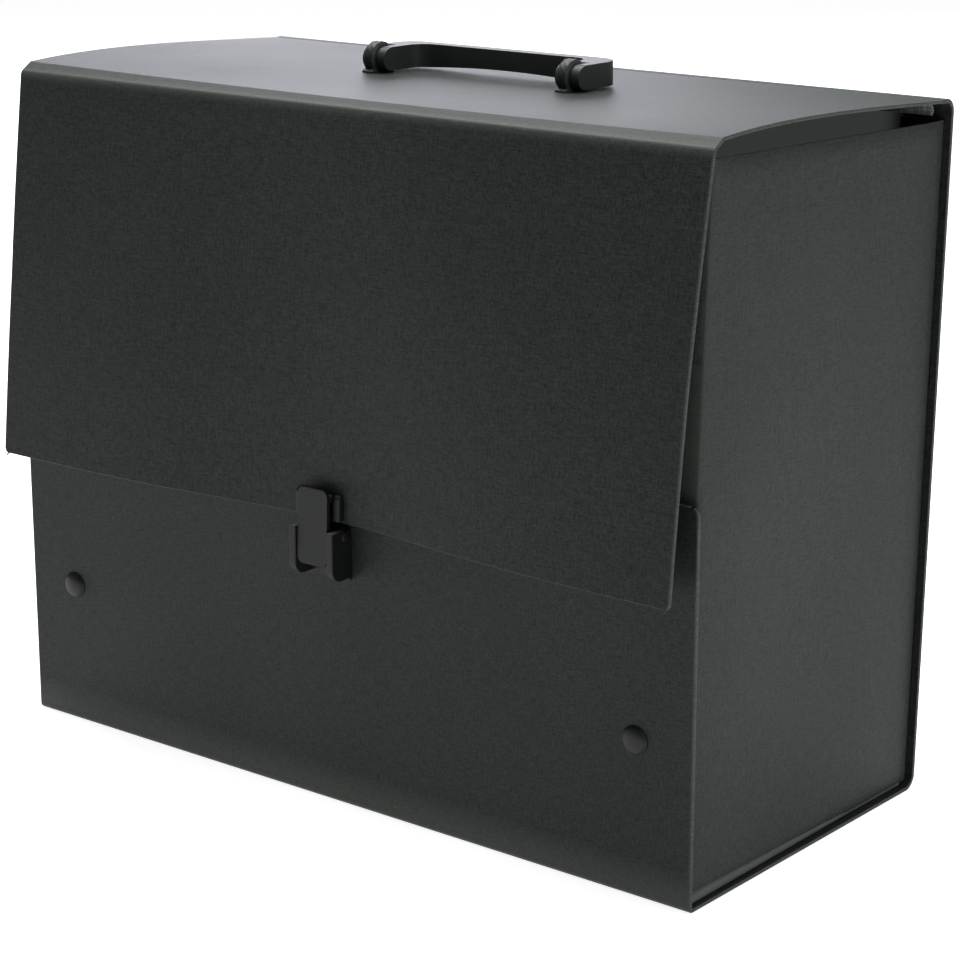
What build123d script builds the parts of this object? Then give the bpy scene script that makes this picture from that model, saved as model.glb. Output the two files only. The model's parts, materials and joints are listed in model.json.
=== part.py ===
"""Folded-board document carrying case with a throw-back lid, a snap hasp and a bail handle.

Millimetres. The origin is on the floor under the middle of the case: +X runs along its long
side, +Y from the front panel to the back panel and +Z up.
"""
from build123d import *
import os
from math import atan, cos, degrees, exp, pi, sin

# ---- driving dimensions ---------------------------------------------------------------------
width = 380.0  # length of the folded sheet along X
depth = 175.3  # front panel to back panel at the floor
board = 1.8  # thickness of the folded sheet
front_height = 168.3  # top edge of the front panel
front_corner = 4.0
rear_fold_z = 301.0  # height where the back panel starts to bend over into the lid
rear_lean = 8.25 / 293  # the back panel leans out by this much per millimetre of height
rear_fold_radius = 6.0
floor_fold_radius = 7.0  # rear bottom fold
crisp_fold_radius = 2.2  # front bottom fold

side_board = 1.4  # thickness of the two side pieces
side_setback = 3.0  # the sheet overhangs each side piece by this
side_top_front, side_top_rear = 301.0, 297.0
side_front_y_at_top = -77.3
side_lean_start = 80.0  # below this the front tab lies flat on the front panel
fold_relief = 0.6  # keeps the side pieces out of the crisp front fold
liner = 0.6  # cloth tape inside the rear fold
front_tab, rear_tab, floor_tab = 28.0, 21.0, 26.0

crease_y, crease_z = -82.6, 305.2  # outer corner between the lid and the front flap
crease_gap = 0.4
lid_rear_y, lid_rear_z = 87.9, 307.0
fold_band, fold_band_rise = 6.0, 3.1  # strip between the front crease and a second, soft one
lid_arch_middle, lid_arch_end = 0.2, 4.0  # further rise of the lid between its folds
lid_arch_skew = 0.75  # brings the top of the arch towards the front

flap_board = 1.4
flap_width = 377.0
flap_bottom_z = 131.0
flap_swing_middle, flap_swing_end = 10.0, 21.5  # how far the bottom edge stands forward
flap_pull_width = 80.0  # the hasp holds the flap in over about this distance each side
flap_bow = 1.2
flap_corner = 2.5

rivet_x, rivet_z = 162.0, 67.5
rivet_cap_radius, rivet_cap_height, rivet_cap_rim = 6.2, 2.8, 0.6
rivet_tube_radius, rivet_tube_bore, rivet_pin_radius = 2.0, 1.35, 1.25
rivet_flange_radius, rivet_flange = 5.5, 1.2

handle_y, handle_z = 9.0, 313.0  # pivot axis
lug_x, lug_thickness, lug_radius, lug_hole = 54.2, 5.6, 7.5, 2.06
lug_foot = 0.6  # the foot shows this far in front of the disc
lug_post_radius, lug_post_bottom = 1.7, 303.6
handle_pin_radius = 2.0
fork_slot, thin_tine, thick_tine = 6.2, 1.8, 4.7  # each arm has its thick tine on its right
grip_near, grip_far = 20.5, 27.5  # from the pivot axis to the grip's two faces
handle_low, handle_high = 307.9, 318.4
handle_nose = 5.2  # radius of the arms' ends round the pivot
slot_back = 8.6  # the arms' slots reach this far behind the pivot, clear of the lugs
handle_corner, handle_inner_corner = 12.0, 8.0
handle_rise = 1.6  # the grip's underside arches up by this in its middle

keeper_half, keeper_cheek = 12.4, 3.6
keeper_low, keeper_top = 104.0, 127.5
keeper_reach = 12.65  # how far the cheeks stand off the front panel
keeper_plate = 1.5
keeper_rivet_radius = 1.5
keeper_pin_y, keeper_pin_z, keeper_pin_radius = -91.5, 124.7, 1.25
backing = 0.8  # steel backing plates

hasp_z = 141.2  # height of the hasp's pivot
hasp_pivot_out = 2.0  # from the flap's face to the pivot
hasp_half_width, hasp_front, hasp_back = 8.4, 6.4, 4.2
hasp_bottom, hasp_lip = -29.9, 4.0  # along the flap, from the pivot
hasp_knuckle = 1.6
hasp_pin_radius, hasp_bore = 0.8, 0.86
hasp_rib_reach = 0.4  # the ribs' tips, out from the flap's face
base_flange, base_rivet_radius = 1.2, 1.25
ear_inner, ear_outer, ear_reach, ear_radius = 9.0, 12.5, 3.4, 2.0

front_y, rear_y = -depth / 2, depth / 2
front_inner = front_y + board
side_x = width / 2 - side_setback
lean_angle = atan(rear_lean)

os.makedirs("parts", exist_ok=True)


def save(piece, label):
    """Names a finished piece and writes it as its own STEP file."""
    piece.label = label
    export_step(piece, f"parts/{label}.step")


def rear_face_y(z):
    """Outer face of the back panel at height z."""
    return rear_y + (z - floor_fold_radius) * rear_lean


def lid_face_z(x, y):
    """Height of the lid's outer face: up the fold band, then nearly flat, and arched at its ends."""
    along = (y - crease_y) / (lid_rear_y - crease_y)
    arch = lid_arch_middle + (lid_arch_end - lid_arch_middle) * (2 * x / width) ** 2
    behind = (lid_rear_y - y) / (lid_rear_y - crease_y - fold_band)
    band = min((y - crease_y) / fold_band, behind**2)
    rise = arch * sin(pi * along**lid_arch_skew) + fold_band_rise * band
    return crease_z + (lid_rear_z - crease_z) * along + rise


def flap_face_y(x, z):
    """Outer face of the flap, which the hasp pulls in at the middle of its bottom edge."""
    drop = (crease_z - z) / (crease_z - flap_bottom_z)
    free = 1 - exp(-((x / flap_pull_width) ** 2))
    swing = flap_swing_middle + (flap_swing_end - flap_swing_middle) * free
    return crease_y - swing * drop - flap_bow * sin(pi * drop)


front_rivets = [
    Plane(origin=(x, front_y, rivet_z), x_dir=(1, 0, 0), z_dir=(0, -1, 0))
    for x in (-rivet_x, rivet_x)
]
rear_rivets = [
    Plane(
        origin=(x, rear_face_y(rivet_z), rivet_z),
        x_dir=(1, 0, 0),
        z_dir=(0, cos(lean_angle), -sin(lean_angle)),
    )
    for x in (-rivet_x, rivet_x)
]
keeper_plane = Plane(origin=(0, front_y, 0), x_dir=(1, 0, 0), z_dir=(0, -1, 0))
keeper_rivet_z = (108.5, 117.5)

# ---- the folded sheet: front panel, floor, back panel and rear fold ---------------------------
with BuildPart() as outer_wrap:
    with BuildSketch(Plane.YZ.offset(-width / 2)):
        with BuildLine():
            lower = FilletPolyline(
                (front_y, front_height),
                (front_y, 0),
                (rear_y, 0),
                (rear_face_y(floor_fold_radius * 2), floor_fold_radius * 2),
                radius=(crisp_fold_radius, floor_fold_radius - 0.4),
            )
            rear = Line(lower @ 1, (rear_face_y(rear_fold_z), rear_fold_z))
            RadiusArc(
                rear @ 1,
                (rear_face_y(rear_fold_z) - rear_fold_radius - 0.3, rear_fold_z + rear_fold_radius),
                -rear_fold_radius - 0.15,
            )
            offset(amount=board, side=Side.LEFT, closed=True)
        make_face()
    extrude(amount=width)
    # rounded top corners of the front panel, then the holes for rivets and latch
    fillet(
        outer_wrap.edges().filter_by(Axis.Y).filter_by_position(Axis.Z, front_height - 1, front_height + 1),
        front_corner,
    )
    for place in front_rivets + rear_rivets:
        with BuildSketch(place):
            Circle(rivet_tube_radius)
        extrude(amount=10, both=True, mode=Mode.SUBTRACT)
    with BuildSketch(keeper_plane):
        with Locations(*[(0, z) for z in keeper_rivet_z]):
            Circle(keeper_rivet_radius)
    extrude(amount=10, both=True, mode=Mode.SUBTRACT)
save(outer_wrap.part, "outer_wrap")

# ---- side pieces: one folded board each, with tabs on the front, floor and back ----------------
front_tab_face = [
    (front_inner, board + fold_relief),
    (front_inner, side_lean_start),
    (side_front_y_at_top, side_top_front),
]
rear_tab_face = [
    (rear_face_y(z) - board / cos(lean_angle), z) for z in (floor_fold_radius * 2, side_top_rear)
]


def tab_strip(face, inward):
    """Outline of a tab's thickness: its outer face and the same line moved into the case."""
    moved = [(y + inward, z) for y, z in face]
    return face + moved[::-1]


with BuildPart() as right_side_panel:
    # panel and floor tab in one bent strip, cut to the side's outline
    with BuildSketch(Plane.XZ):
        with BuildLine():
            FilletPolyline(
                (side_x - floor_tab, board),
                (side_x, board),
                (side_x, side_top_front + 1),
                radius=side_board * 2,
            )
            offset(amount=side_board, side=Side.LEFT, closed=True)
        make_face()
    extrude(amount=depth, both=True)
    with BuildSketch(Plane.YZ):
        with BuildLine():
            Polyline(
                *front_tab_face,
                rear_tab_face[1],
                rear_tab_face[0],
                (rear_y - floor_fold_radius, board),
                (front_inner + fold_relief, board),
                close=True,
            )
        make_face()
    extrude(amount=width / 2, mode=Mode.INTERSECT)
    for face, inward, length in (
        (front_tab_face, side_board, front_tab),
        (rear_tab_face, -side_board, rear_tab),
    ):
        with BuildSketch(Plane.YZ.offset(side_x - length)):
            with BuildLine():
                Polyline(*tab_strip(face, inward), close=True)
            make_face()
        extrude(amount=length)
    for place in front_rivets[1:] + rear_rivets[1:]:
        with BuildSketch(place):
            Circle(rivet_tube_radius)
        extrude(amount=10, both=True, mode=Mode.SUBTRACT)
save(right_side_panel.part, "right_side_panel")

with BuildPart() as left_side_panel:
    mirror(right_side_panel.part, about=Plane.YZ)
save(left_side_panel.part, "left_side_panel")

# ---- cloth tape inside the rear fold ------------------------------------------------------------
with BuildPart() as hinge_liner:
    with BuildSketch(Plane.YZ.offset(-side_x + side_board + 1)):
        with BuildLine():
            up = Line(
                (rear_face_y(side_top_rear + 1) - board / cos(lean_angle), side_top_rear + 1),
                (rear_face_y(rear_fold_z) - board / cos(lean_angle), rear_fold_z),
            )
            RadiusArc(
                up @ 1,
                (rear_face_y(rear_fold_z) - rear_fold_radius - 0.3, rear_fold_z + rear_fold_radius - board),
                -(rear_fold_radius + 0.15 - board),
            )
            offset(amount=liner, side=Side.LEFT, closed=True)
        make_face()
    extrude(amount=2 * (side_x - side_board - 1))
    add(outer_wrap.part, mode=Mode.SUBTRACT)
save(hinge_liner.part, "hinge_liner")

# ---- tube rivets that join the side pieces' tabs to the front and back panels --------------------
joint_depth = board + side_board  # both boards that a rivet holds together


def rivet_cap(place):
    """Low domed cap outside, with a solid pin that goes into the inner half."""
    with BuildPart() as cap:
        with BuildSketch(Plane(origin=place.origin, x_dir=place.x_dir, z_dir=-place.y_dir)):
            with BuildLine():
                edge = Line((0, -joint_depth), (rivet_pin_radius, -joint_depth))
                side = Line(edge @ 1, (rivet_pin_radius, 0))
                rim = Line(side @ 1, (rivet_cap_radius, 0))
                lip = Line(rim @ 1, (rivet_cap_radius, rivet_cap_rim))
                crown = rivet_cap_height - rivet_cap_rim
                dome_radius = (rivet_cap_radius**2 + crown**2) / (2 * crown)
                dome = RadiusArc(lip @ 1, (0, rivet_cap_height), -dome_radius)
                Line(dome @ 1, edge @ 0)
            make_face()
        revolve(axis=Axis(place.origin, place.z_dir))
    return cap.part


def rivet_socket(place):
    """Inner half: a flange inside the case and a tube through both boards."""
    with BuildPart() as socket:
        with BuildSketch(place.offset(-joint_depth - rivet_flange)):
            Circle(rivet_flange_radius)
        extrude(amount=rivet_flange)
        with BuildSketch(place.offset(-joint_depth)):
            Circle(rivet_tube_radius)
        extrude(amount=joint_depth)
        with BuildSketch(place.offset(-joint_depth)):
            Circle(rivet_tube_bore)
        extrude(amount=joint_depth, mode=Mode.SUBTRACT)
    return socket.part


for label, places, make in (
    ("front_rivet_caps", front_rivets, rivet_cap),
    ("front_rivet_sockets", front_rivets, rivet_socket),
    ("back_rivet_caps", rear_rivets, rivet_cap),
    ("back_rivet_sockets", rear_rivets, rivet_socket),
):
    save(Compound(children=[make(place) for place in places]), label)

# ---- keeper bracket on the front panel: the hasp closes between its two cheeks ---------------------
with BuildPart() as latch_keeper:
    with BuildSketch(keeper_plane):
        with Locations((0, (keeper_low + keeper_top) / 2)):
            RectangleRounded(2 * keeper_half, keeper_top - keeper_low, 2)
    extrude(amount=keeper_plate)
    for side in (-1, 1):
        with BuildSketch(Plane.YZ.offset(side * (keeper_half - keeper_cheek / 2))):
            with BuildLine():
                Polyline(
                    (front_y, keeper_low + 1.5),
                    (front_y, keeper_top),
                    (front_y - keeper_reach, keeper_top),
                    (front_y - keeper_reach, keeper_low + 1.5),
                    close=True,
                )
            make_face()
            fillet(vertices().group_by(Axis.X)[0].sort_by(Axis.Y)[0], 5.5)
        extrude(amount=keeper_cheek / 2, both=True)
    with BuildSketch(Plane.YZ):
        with Locations((keeper_pin_y, keeper_pin_z)):
            Circle(keeper_pin_radius)
    extrude(amount=keeper_half, both=True, mode=Mode.SUBTRACT)
    with BuildSketch(keeper_plane):
        with Locations(*[(0, z) for z in keeper_rivet_z]):
            Circle(keeper_rivet_radius)
    extrude(amount=keeper_plate, mode=Mode.SUBTRACT)
save(latch_keeper.part, "latch_keeper")

with BuildPart() as keeper_pin:
    with BuildSketch(Plane.YZ):
        with Locations((keeper_pin_y, keeper_pin_z)):
            Circle(keeper_pin_radius)
    extrude(amount=keeper_half + 0.3, both=True)
save(keeper_pin.part, "keeper_pin")

with BuildPart() as keeper_backing_plate:
    with BuildSketch(keeper_plane.offset(-board)):
        with Locations((0, (keeper_low + keeper_top) / 2)):
            RectangleRounded(2 * keeper_half, keeper_top - keeper_low, 2)
        with Locations(*[(0, z) for z in keeper_rivet_z]):
            Circle(keeper_rivet_radius, mode=Mode.SUBTRACT)
    extrude(amount=-backing)
save(keeper_backing_plate.part, "keeper_backing_plate")


def flat_rivet(place, low, high, shank, head, head_height):
    """Solid rivet along the plane's normal, gripping from low to high, with a head at each end."""
    with BuildPart() as rivet:
        with BuildSketch(place.offset(low)):
            Circle(shank)
        extrude(amount=high - low)
        for start, amount in ((low, -head_height), (high, head_height)):
            with BuildSketch(place.offset(start)):
                Circle(head)
            extrude(amount=amount)
    return rivet.part


keeper_rivets = Compound(
    children=[
        flat_rivet(
            Plane(origin=(0, front_y, z), x_dir=(1, 0, 0), z_dir=(0, -1, 0)),
            -board - backing,
            keeper_plate,
            keeper_rivet_radius,
            3.0,
            1.0,
        )
        for z in keeper_rivet_z
    ]
)
save(keeper_rivets, "keeper_rivets")

# ---- lid: the top of the folded sheet, arched at its two ends ---------------------------------------
lid_stations = [crease_y, -79.6, crease_y + fold_band, -73.0, -60.0, -38.0, -12.0, 20.0, 55.0, lid_rear_y]


def lid_section(x):
    """The lid's thickness at x: its outer face, and the same curve one board lower."""
    with BuildSketch(Plane.YZ.offset(x)) as section:
        with BuildLine():
            top = Spline(*[(y, lid_face_z(x, y)) for y in lid_stations])
            rear_end = Line(top @ 1, (lid_rear_y, lid_face_z(x, lid_rear_y) - board))
            under = Spline(
                rear_end @ 1,
                *[(y + 0.6, lid_face_z(x, y) - board) for y in lid_stations[-2:0:-1]],
                (crease_y + board, crease_z - 0.2),
            )
            Line(under @ 1, top @ 0)
        make_face()
    return section.sketch


with BuildPart() as lid_top_panel:
    loft(sections=[lid_section(x) for x in (-width / 2, 0, width / 2)])
    with BuildSketch(Plane.XY.offset(crease_z - 5)):
        with Locations((-lug_x, handle_y), (lug_x, handle_y)):
            Circle(lug_post_radius)
    extrude(amount=20, mode=Mode.SUBTRACT)
save(lid_top_panel.part, "lid_top_panel")


# ---- handle lugs: round ears whose posts go through the lid -------------------------------------------
def handle_lug(x):
    """Disc ear with a small foot, trimmed to the lid's curve, and a post through the lid."""
    with BuildPart() as lug:
        with BuildSketch(Plane.YZ.offset(x)):
            with Locations((handle_y, handle_z)):
                Circle(lug_radius)
            with Locations((handle_y - lug_foot / 2, handle_z - lug_radius + 1.0)):
                Rectangle(2 * lug_radius + lug_foot, 3.4)
        extrude(amount=lug_thickness / 2, both=True)
        add(lid_top_panel.part, mode=Mode.SUBTRACT)
        below = Box(
            20, 40, 20, align=(Align.CENTER, Align.CENTER, Align.MAX), mode=Mode.PRIVATE
        ).moved(Location((x, handle_y, lid_face_z(x, handle_y) - board / 2)))
        add(below, mode=Mode.SUBTRACT)
        with BuildSketch(Plane.XY.offset(lug_post_bottom)):
            with Locations((x, handle_y)):
                Circle(lug_post_radius)
        extrude(amount=handle_z - lug_radius + 2 - lug_post_bottom)
        with BuildSketch(Plane.XY.offset(lug_post_bottom)):
            with Locations((x, handle_y)):
                Circle(lug_post_radius + 1.2)
        extrude(amount=-1.2)
        with BuildSketch(Plane.YZ.offset(x)):
            with Locations((handle_y, handle_z)):
                Circle(lug_hole)
        extrude(amount=lug_thickness, both=True, mode=Mode.SUBTRACT)
    return lug.part


save(handle_lug(-lug_x), "handle_lug_left")
save(handle_lug(lug_x), "handle_lug_right")

with BuildPart() as handle_backing_plate:
    with BuildSketch(Plane.XY.offset(lug_post_bottom)):
        with Locations((0, handle_y)):
            RectangleRounded(2 * lug_x + 26, 24, 4)
        with Locations((-lug_x, handle_y), (lug_x, handle_y)):
            Circle(lug_post_radius, mode=Mode.SUBTRACT)
    extrude(amount=backing)
save(handle_backing_plate.part, "handle_backing_plate")

# ---- bail handle, lying back on the lid -----------------------------------------------------------------
arm_left = -lug_x - fork_slot / 2 - thin_tine
arm_right = lug_x + fork_slot / 2 + thick_tine
inner_left = -lug_x + fork_slot / 2 + thick_tine
inner_right = lug_x - fork_slot / 2 - thin_tine
arm_end = handle_y - handle_nose


def plan_block(left, right, back, corner):
    """Block from past the arms' ends to this far behind them, its back corners rounded."""
    with Locations(((left + right) / 2, (arm_end - 1 + back) / 2)):
        Rectangle(right - left, back - arm_end + 1)
    fillet(vertices().group_by(Axis.Y)[-1], corner)


with BuildPart() as handle:
    with BuildSketch(Plane.XY.offset(handle_low)):
        plan_block(arm_left, arm_right, handle_y + grip_far, handle_corner)
    extrude(amount=handle_high - handle_low)
    with BuildSketch(Plane.XY.offset(handle_low)):
        plan_block(inner_left, inner_right, handle_y + grip_near, handle_inner_corner)
        for x in (-lug_x, lug_x):
            with Locations((x, (arm_end - 1 + handle_y + slot_back) / 2)):
                Rectangle(fork_slot, handle_y + slot_back - arm_end + 1)
    extrude(amount=handle_high - handle_low, mode=Mode.SUBTRACT)
    # the arms' noses are round about the pivot, and the grip arches up in its middle
    with BuildSketch(Plane.YZ):
        with Locations((handle_y, handle_z)):
            Circle(handle_nose)
        with Locations((handle_y + grip_far / 2, (handle_low + handle_high) / 2)):
            Rectangle(grip_far, handle_high - handle_low)
    extrude(amount=arm_right, both=True, mode=Mode.INTERSECT)
    with BuildSketch(Plane.XZ):
        with BuildLine():
            arch = ThreePointArc(
                (inner_left + 6, handle_low),
                ((inner_left + inner_right) / 2, handle_low + handle_rise),
                (inner_right - 6, handle_low),
            )
            Line(arch @ 1, arch @ 0)
        make_face()
    extrude(amount=-(handle_y + grip_far), mode=Mode.SUBTRACT)
    # one blind bore in each arm: through the thin tine, into the thick one
    for x in (-lug_x, lug_x):
        with BuildSketch(Plane.YZ.offset(x - fork_slot / 2 - thin_tine)):
            with Locations((handle_y, handle_z)):
                Circle(handle_pin_radius)
        extrude(amount=thin_tine + fork_slot + thick_tine / 2, mode=Mode.SUBTRACT)
save(handle.part, "handle")

handle_pins = []
for x in (-lug_x, lug_x):
    with BuildPart() as handle_pin:
        with BuildSketch(Plane.YZ.offset(x - fork_slot / 2 - thin_tine)):
            with Locations((handle_y, handle_z)):
                Circle(handle_pin_radius)
        extrude(amount=thin_tine + fork_slot + thick_tine / 2)
    handle_pins.append(handle_pin.part)
save(Compound(children=handle_pins), "handle_pins")

# ---- front flap: hangs from the crease and stands away from the panel at its ends -----------------------
flap_top_z = crease_z - crease_gap
flap_stations = [flap_top_z, 262.0, 218.0, 174.0, flap_bottom_z]


def flap_section(x):
    """The flap's thickness at x, from just under the crease to the bottom edge."""
    with BuildSketch(Plane.YZ.offset(x)) as section:
        with BuildLine():
            outer = Spline(*[(flap_face_y(x, z), z) for z in flap_stations])
            bottom = Line(outer @ 1, (flap_face_y(x, flap_bottom_z) + flap_board, flap_bottom_z))
            inner = Spline(
                bottom @ 1, *[(flap_face_y(x, z) + flap_board, z) for z in flap_stations[-2::-1]]
            )
            Line(inner @ 1, outer @ 0)
        make_face()
    return section.sketch


latch_slope = (flap_face_y(0, hasp_z) - flap_face_y(0, flap_bottom_z)) / (hasp_z - flap_bottom_z)
latch_plane = Plane(
    origin=(0, flap_face_y(0, hasp_z), hasp_z), x_dir=(1, 0, 0), z_dir=(0, -1, latch_slope)
)


def latch_side_at(x):
    """Plane across the latch at x: local x runs out from the flap, local y up along it."""
    return Plane(origin=latch_plane.origin + (x, 0, 0), x_dir=latch_plane.z_dir, z_dir=(-1, 0, 0))


latch_side = latch_side_at(0)
base_rivet_spots = [(-5.0, -6.2), (5.0, -6.2)]
ear_foot = flap_bottom_z - hasp_z + 0.5

with BuildPart() as front_flap_panel:
    half = flap_width / 2
    loft(sections=[flap_section(x) for x in (-half, -120, -75, -35, 0, 35, 75, 120, half)])
    with BuildSketch(Plane.XZ):
        with Locations((0, (flap_top_z + flap_bottom_z) / 2 + flap_corner)):
            RectangleRounded(flap_width, flap_top_z - flap_bottom_z + 2 * flap_corner, flap_corner)
    extrude(amount=depth, both=True, mode=Mode.INTERSECT)
    with BuildSketch(latch_plane):
        with Locations(*base_rivet_spots):
            Circle(base_rivet_radius)
    extrude(amount=8, both=True, mode=Mode.SUBTRACT)
save(front_flap_panel.part, "front_flap_panel")

# ---- hasp base: a flange with two ears, riveted through the flap to a steel plate -----------------------
with BuildPart() as hasp_base:
    with BuildSketch(latch_plane.offset(-1)):
        with Locations((0, (ear_foot - 2.6) / 2)):
            Rectangle(2 * ear_outer, -2.6 - ear_foot)
    extrude(amount=1 + base_flange)
    for side in (-1, 1):
        centre = side * (ear_inner + ear_outer) / 2
        with BuildSketch(latch_side_at(centre)):
            with BuildLine():
                Polyline(
                    (-1, ear_foot),
                    (ear_reach, ear_foot),
                    (ear_reach, ear_radius),
                    (-1, ear_radius),
                    close=True,
                )
            make_face()
            fillet(vertices().group_by(Axis.Y)[0], ear_radius - 0.1)
        extrude(amount=(ear_outer - ear_inner) / 2, both=True)
    add(front_flap_panel.part, mode=Mode.SUBTRACT)
    with BuildSketch(latch_side):
        with Locations((hasp_pivot_out, 0)):
            Circle(hasp_pin_radius)
    extrude(amount=ear_outer, both=True, mode=Mode.SUBTRACT)
    with BuildSketch(latch_plane):
        with Locations(*base_rivet_spots):
            Circle(base_rivet_radius)
    extrude(amount=8, both=True, mode=Mode.SUBTRACT)
save(hasp_base.part, "hasp_base")

with BuildPart() as hasp_pin:
    with BuildSketch(latch_side):
        with Locations((hasp_pivot_out, 0)):
            Circle(hasp_pin_radius)
    extrude(amount=ear_outer - 0.2, both=True)
save(hasp_pin.part, "hasp_pin")

with BuildPart() as hasp_backing_plate:
    with BuildSketch(latch_plane.offset(-flap_board - backing)):
        with Locations((0, (ear_foot - 1) / 2)):
            RectangleRounded(2 * ear_outer, -1 - ear_foot, 1.5)
        with Locations(*base_rivet_spots):
            Circle(base_rivet_radius, mode=Mode.SUBTRACT)
    extrude(amount=backing)
    add(front_flap_panel.part, mode=Mode.SUBTRACT)
save(hasp_backing_plate.part, "hasp_backing_plate")

hasp_base_rivets = Compound(
    children=[
        flat_rivet(
            Plane(
                origin=latch_plane.from_local_coords((x, y, 0)),
                x_dir=latch_plane.x_dir,
                z_dir=latch_plane.z_dir,
            ),
            -flap_board - backing,
            base_flange,
            base_rivet_radius,
            2.2,
            0.8,
        )
        for x, y in base_rivet_spots
    ]
)
save(hasp_base_rivets, "hasp_base_rivets")

# ---- hasp: a plate that turns on its pin, with two ribs behind it that reach to the keeper's pin --------
with BuildPart() as hasp:
    with BuildSketch(latch_side):
        with BuildLine():
            Polyline(
                (hasp_front, hasp_bottom),
                (hasp_front, hasp_lip),
                (hasp_front - 0.6, hasp_lip),
                (hasp_back, hasp_lip / 4),
                (hasp_pivot_out, hasp_lip / 4),
                (hasp_pivot_out, -hasp_knuckle),
                (hasp_back, -hasp_knuckle),
                (hasp_back, hasp_bottom),
                close=True,
            )
        make_face()
        with Locations((hasp_pivot_out, 0)):
            Circle(hasp_knuckle)
    extrude(amount=hasp_half_width, both=True)
    with BuildSketch(latch_plane.offset(-2)):
        with Locations((0, (hasp_bottom + hasp_lip) / 2)):
            RectangleRounded(2 * hasp_half_width, hasp_lip - hasp_bottom, 2)
    extrude(amount=10, mode=Mode.INTERSECT)
    for side in (-1, 1):
        with BuildSketch(latch_side_at(side * 4)):
            with Locations(((hasp_back + hasp_rib_reach) / 2, keeper_pin_z - hasp_z)):
                Rectangle(hasp_back - hasp_rib_reach, 4.6)
        extrude(amount=1, both=True)
    with BuildSketch(latch_side):
        with Locations((hasp_pivot_out, 0)):
            Circle(hasp_bore)
    extrude(amount=hasp_half_width, both=True, mode=Mode.SUBTRACT)
save(hasp.part, "hasp")
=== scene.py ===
"""Looks of a folded-board document carrying case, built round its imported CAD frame.

The frame is in metres: +X along the case, +Y from its front panel to its back panel, +Z up.
"""
import json
from math import atan2, cos, exp, pi, radians, sin, sqrt, tau

import bmesh
import bpy
import numpy as np
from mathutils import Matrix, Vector


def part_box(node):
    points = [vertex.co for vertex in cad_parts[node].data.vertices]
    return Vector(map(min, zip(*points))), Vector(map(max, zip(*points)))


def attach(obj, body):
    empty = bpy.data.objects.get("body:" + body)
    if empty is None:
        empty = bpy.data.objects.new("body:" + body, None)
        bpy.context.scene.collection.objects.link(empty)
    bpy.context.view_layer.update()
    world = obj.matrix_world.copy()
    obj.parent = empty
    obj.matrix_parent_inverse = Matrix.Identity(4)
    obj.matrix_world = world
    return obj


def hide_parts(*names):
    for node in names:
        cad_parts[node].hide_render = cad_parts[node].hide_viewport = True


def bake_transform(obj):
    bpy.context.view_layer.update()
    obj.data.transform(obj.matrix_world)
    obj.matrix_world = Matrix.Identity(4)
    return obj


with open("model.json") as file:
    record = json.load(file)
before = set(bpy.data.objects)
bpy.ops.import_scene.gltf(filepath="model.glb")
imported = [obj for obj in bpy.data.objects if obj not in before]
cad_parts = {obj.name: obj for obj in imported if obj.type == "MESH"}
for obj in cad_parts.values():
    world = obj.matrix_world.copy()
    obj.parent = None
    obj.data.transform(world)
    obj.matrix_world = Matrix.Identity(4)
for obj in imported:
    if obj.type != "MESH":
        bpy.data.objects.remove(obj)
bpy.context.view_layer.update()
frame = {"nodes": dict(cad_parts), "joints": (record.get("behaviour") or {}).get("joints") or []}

MM = 0.001
joints = {j["name"]: j for j in frame["joints"]}

# ---- sizes, read from the frame or repeated from the design in metres --------------------------
wrap_low, wrap_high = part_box("outer_wrap")
side_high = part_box("right_side_panel")[1]
lid_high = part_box("lid_top_panel")[1]
flap_low, flap_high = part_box("front_flap_panel")
handle_low, handle_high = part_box("handle")

half_width = wrap_high.x
front_y = wrap_low.y
rear_foot_y = -front_y
board = 1.8 * MM
side_board = 1.4 * MM
front_top_z = 168.3 * MM
panel_corner = 4 * MM
rear_fold_z = 301.0 * MM
rear_fold_radius = 6.0 * MM
floor_fold_radius = 7.0 * MM
crisp_fold_radius = 2.2 * MM
rear_lean = 8.25 / 293
side_x = side_high.x
side_top_front, side_top_rear = side_high.z, 297.0 * MM
side_front_y_at_top = -77.3 * MM
column_step = 9.5 * MM
side_lean_start = 80.0 * MM

crease_y, crease_z = (joints["flap_hinge"]["pos_m"][i] for i in (1, 2))
lid_rear_y, lid_rear_z = lid_high.y, 306.4 * MM
flap_bottom_z = flap_low.z
flap_half = flap_high.x
flap_swing_middle, flap_swing_end = 10.0 * MM, 21.5 * MM
flap_pull_width = 80.0 * MM
flap_bow = 1.2 * MM
flap_corner = 2.5 * MM

fold_band, fold_band_rise = 6.0 * MM, 3.1 * MM  # strip between the two front creases
seam_y = 86.4 * MM  # score line across the lid just in front of the rear fold
sheet_rim = 0.28 * MM

pivot_y, pivot_z = (joints["handle_hinge"]["pos_m"][i] for i in (1, 2))
lug_x, lug_radius, lug_thickness = 54.2 * MM, 7.5 * MM, 5.8 * MM


# ---- materials ---------------------------------------------------------------------------------
def new_material(name):
    """An empty node material with a Principled shader; returns its tree, shader and a node maker."""
    material = bpy.data.materials.new(name)
    material.use_nodes = True
    tree = material.node_tree
    tree.nodes.clear()
    output = tree.nodes.new("ShaderNodeOutputMaterial")
    shader = tree.nodes.new("ShaderNodeBsdfPrincipled")
    tree.links.new(shader.outputs[0], output.inputs[0])
    return material, tree, shader


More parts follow.
